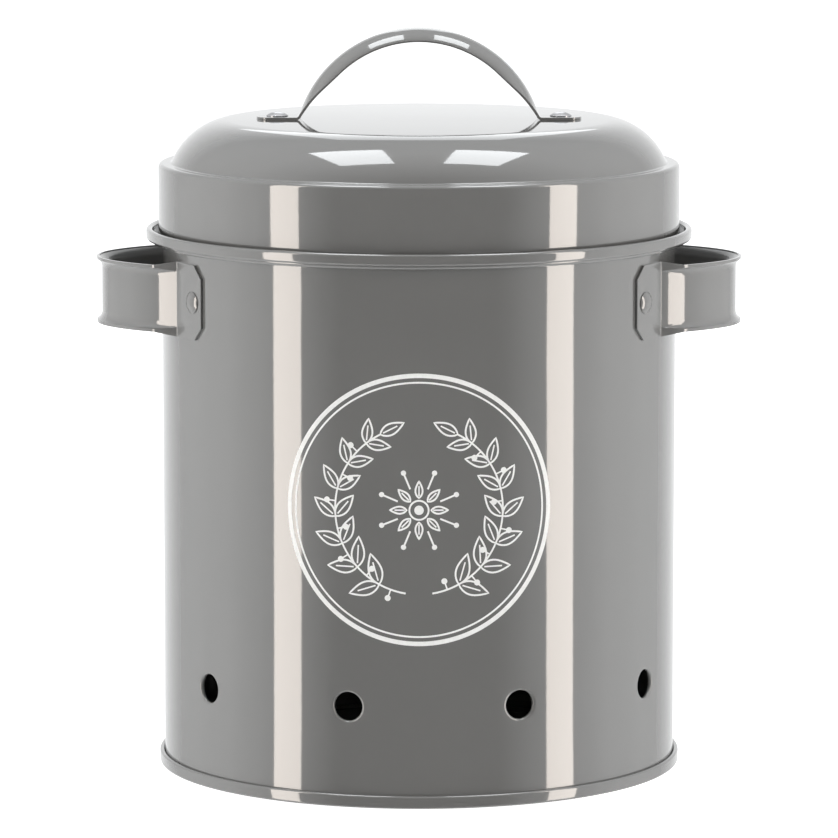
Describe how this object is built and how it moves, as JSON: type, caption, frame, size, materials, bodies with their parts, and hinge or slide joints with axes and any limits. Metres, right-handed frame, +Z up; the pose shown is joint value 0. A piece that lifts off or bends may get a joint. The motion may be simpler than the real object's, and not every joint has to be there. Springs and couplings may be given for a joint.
{
  "type": "vegetable storage tin",
  "caption": "Round painted steel storage tin with vent holes low in its wall, riveted side handles and a lift-off domed lid with an arched strap handle.",
  "frame": {"origin": "middle of the base, on the surface that the tin stands on", "axes": "+Z up along the tin's axis, front with the printed ring towards -Y, side handles on the X axis"},
  "size_m": [0.2512, 0.2124, 0.2877],
  "materials": {
    "grey_enamel": "gloss",
    "rivet_paint": "gloss",
    "rivet_steel": "polished",
    "white_print": "satin"
  },
  "bodies": {
    "tin": {"body_wall": "grey_enamel", "base_plate": "grey_enamel", "left_handle": "grey_enamel", "right_handle": "grey_enamel", "left_front_rivet": "rivet_paint", "left_back_rivet": "rivet_paint", "right_front_rivet": "rivet_paint", "right_back_rivet": "rivet_paint"},
    "lid": {"lid_shell": "grey_enamel", "lid_handle": "grey_enamel", "lid_left_rivet": "rivet_steel", "lid_right_rivet": "rivet_steel"}
  },
  "joints": [
    {"name": "lid_lift", "type": "slide", "parent": "tin", "child": "lid", "axis": [0, 0, 1], "range_m": [0, 0.12]}
  ]
}
